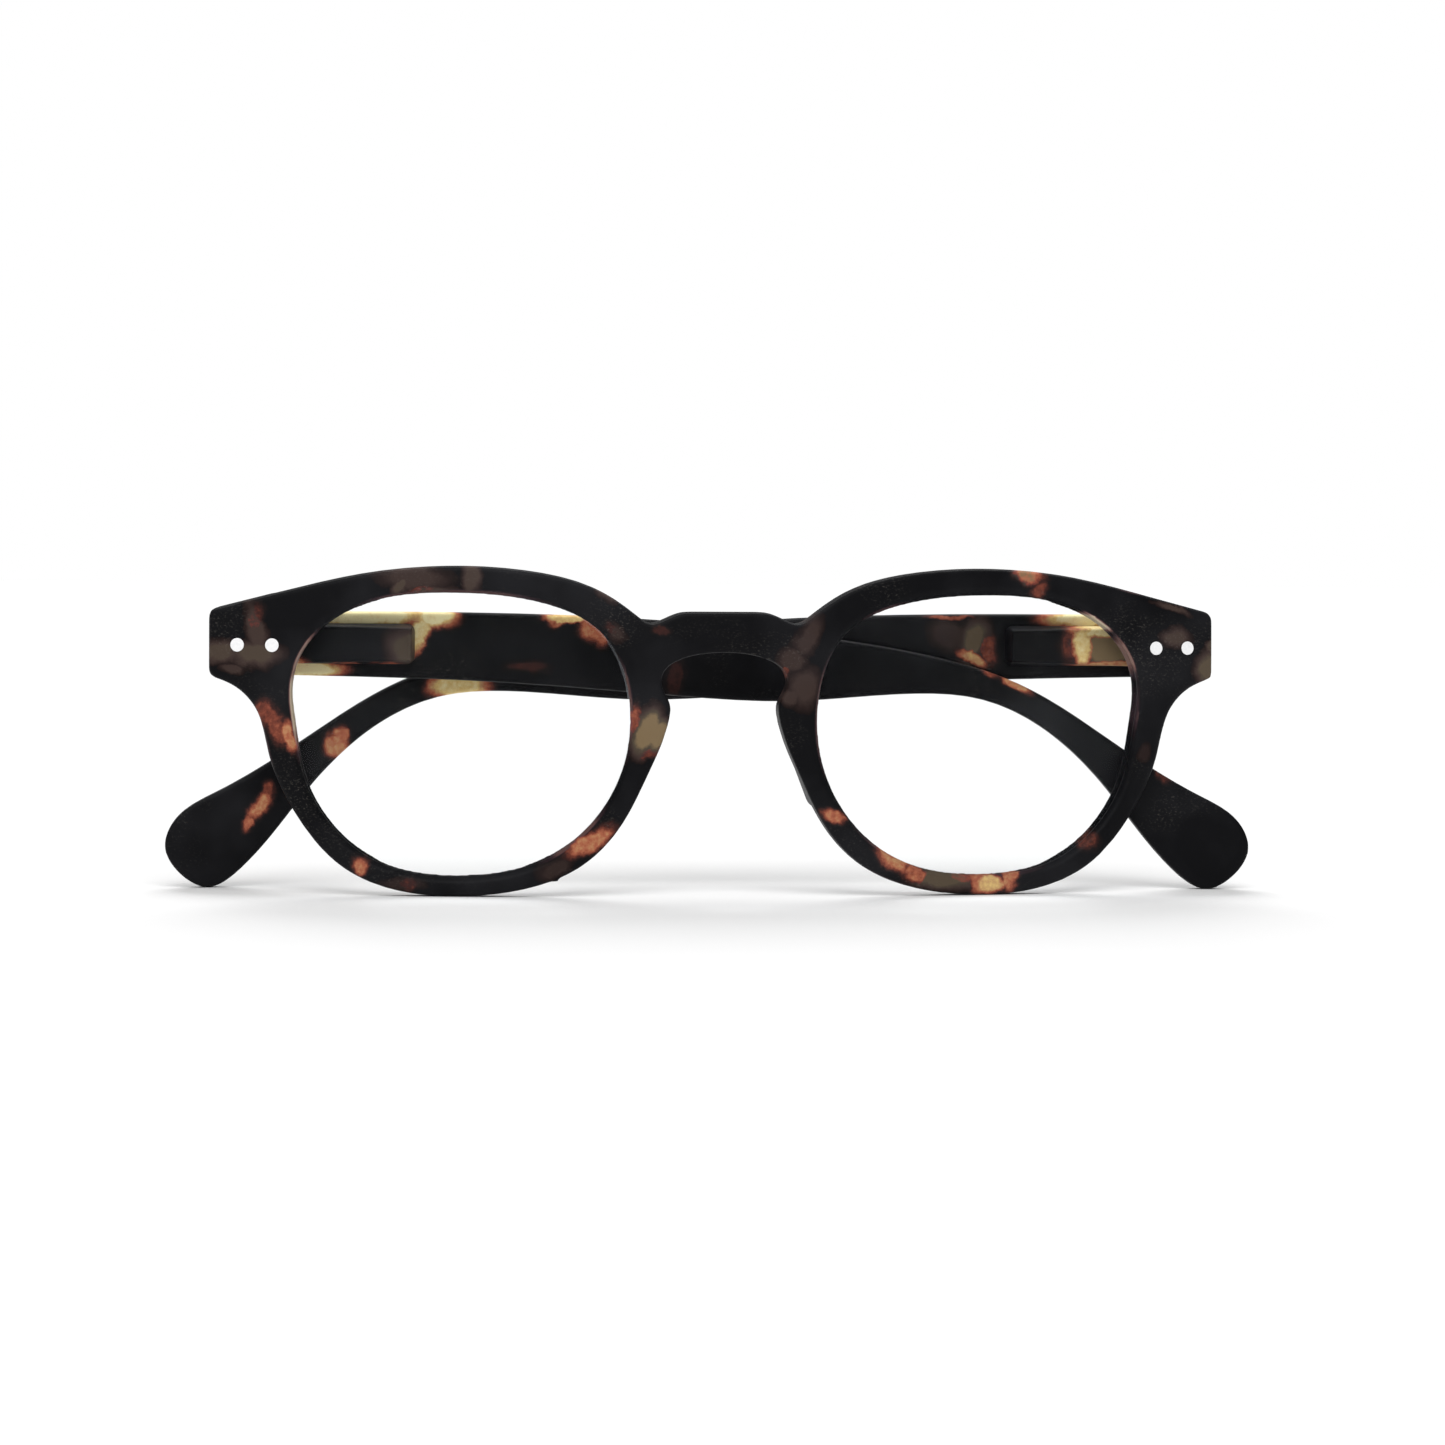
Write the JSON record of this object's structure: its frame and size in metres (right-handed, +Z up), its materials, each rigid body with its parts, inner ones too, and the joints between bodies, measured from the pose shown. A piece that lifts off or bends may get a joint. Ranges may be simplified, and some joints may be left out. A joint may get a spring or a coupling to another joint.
{
  "type": "folding reading glasses",
  "caption": "Full-rim plastic reading glasses with keyhole bridge, clear lenses and two spring-hinged folding temples, stored folded.",
  "frame": {"origin": "on the floor, at the centre of the folded glasses' footprint", "axes": "+X towards the wearer's left, +Y from the front towards the folded temples, +Z up as worn"},
  "size_m": [0.1522, 0.0214, 0.0452],
  "materials": {
    "tortoise_plastic": "satin soft-touch dark tortoise",
    "lens_clear": "clear polished lens",
    "dot_metal": "satin bright",
    "hinge_steel": "satin nickel silver",
    "spring_steel": "drawn wire"
  },
  "bodies": {
    "front": {"front_frame": "tortoise_plastic", "right_lens": "lens_clear", "right_front_rivets": "dot_metal", "right_hinge_leaf": "hinge_steel", "right_hinge_screw": "hinge_steel", "left_lens": "lens_clear", "left_front_rivets": "dot_metal", "left_hinge_leaf": "hinge_steel", "left_hinge_screw": "hinge_steel"},
    "right_hinge": {"right_hinge_slider": "hinge_steel", "right_spring_rod": "hinge_steel", "right_spring_nut": "hinge_steel"},
    "right_arm": {"right_temple": "tortoise_plastic", "right_flex_cover": "tortoise_plastic", "right_flex_spring": "spring_steel"},
    "left_hinge": {"left_hinge_slider": "hinge_steel", "left_spring_rod": "hinge_steel", "left_spring_nut": "hinge_steel"},
    "left_arm": {"left_temple": "tortoise_plastic", "left_flex_cover": "tortoise_plastic", "left_flex_spring": "spring_steel"}
  },
  "joints": [
    {"name": "right_temple_fold", "type": "hinge", "parent": "front", "child": "right_hinge", "pos_m": [-0.06485, 0.00288, 0.03421], "axis": [0, 0, 1], "range_deg": [0, 98]},
    {"name": "right_flex_slide", "type": "slide", "parent": "right_hinge", "child": "right_arm", "axis": [0.9996, -0.0279, 0], "range_m": [0, 0.0012], "stiffness_N_per_m": 500, "springref_m": -0.002, "deforming": ["right_flex_spring"]},
    {"name": "left_temple_fold", "type": "hinge", "parent": "front", "child": "left_hinge", "pos_m": [0.06475, 0.00288, 0.03421], "axis": [0, 0, -1], "range_deg": [0, 95]},
    {"name": "left_flex_slide", "type": "slide", "parent": "left_hinge", "child": "left_arm", "axis": [-0.9996, 0.0279, 0], "range_m": [0, 0.0012], "stiffness_N_per_m": 500, "springref_m": -0.002, "deforming": ["left_flex_spring"]}
  ]
}
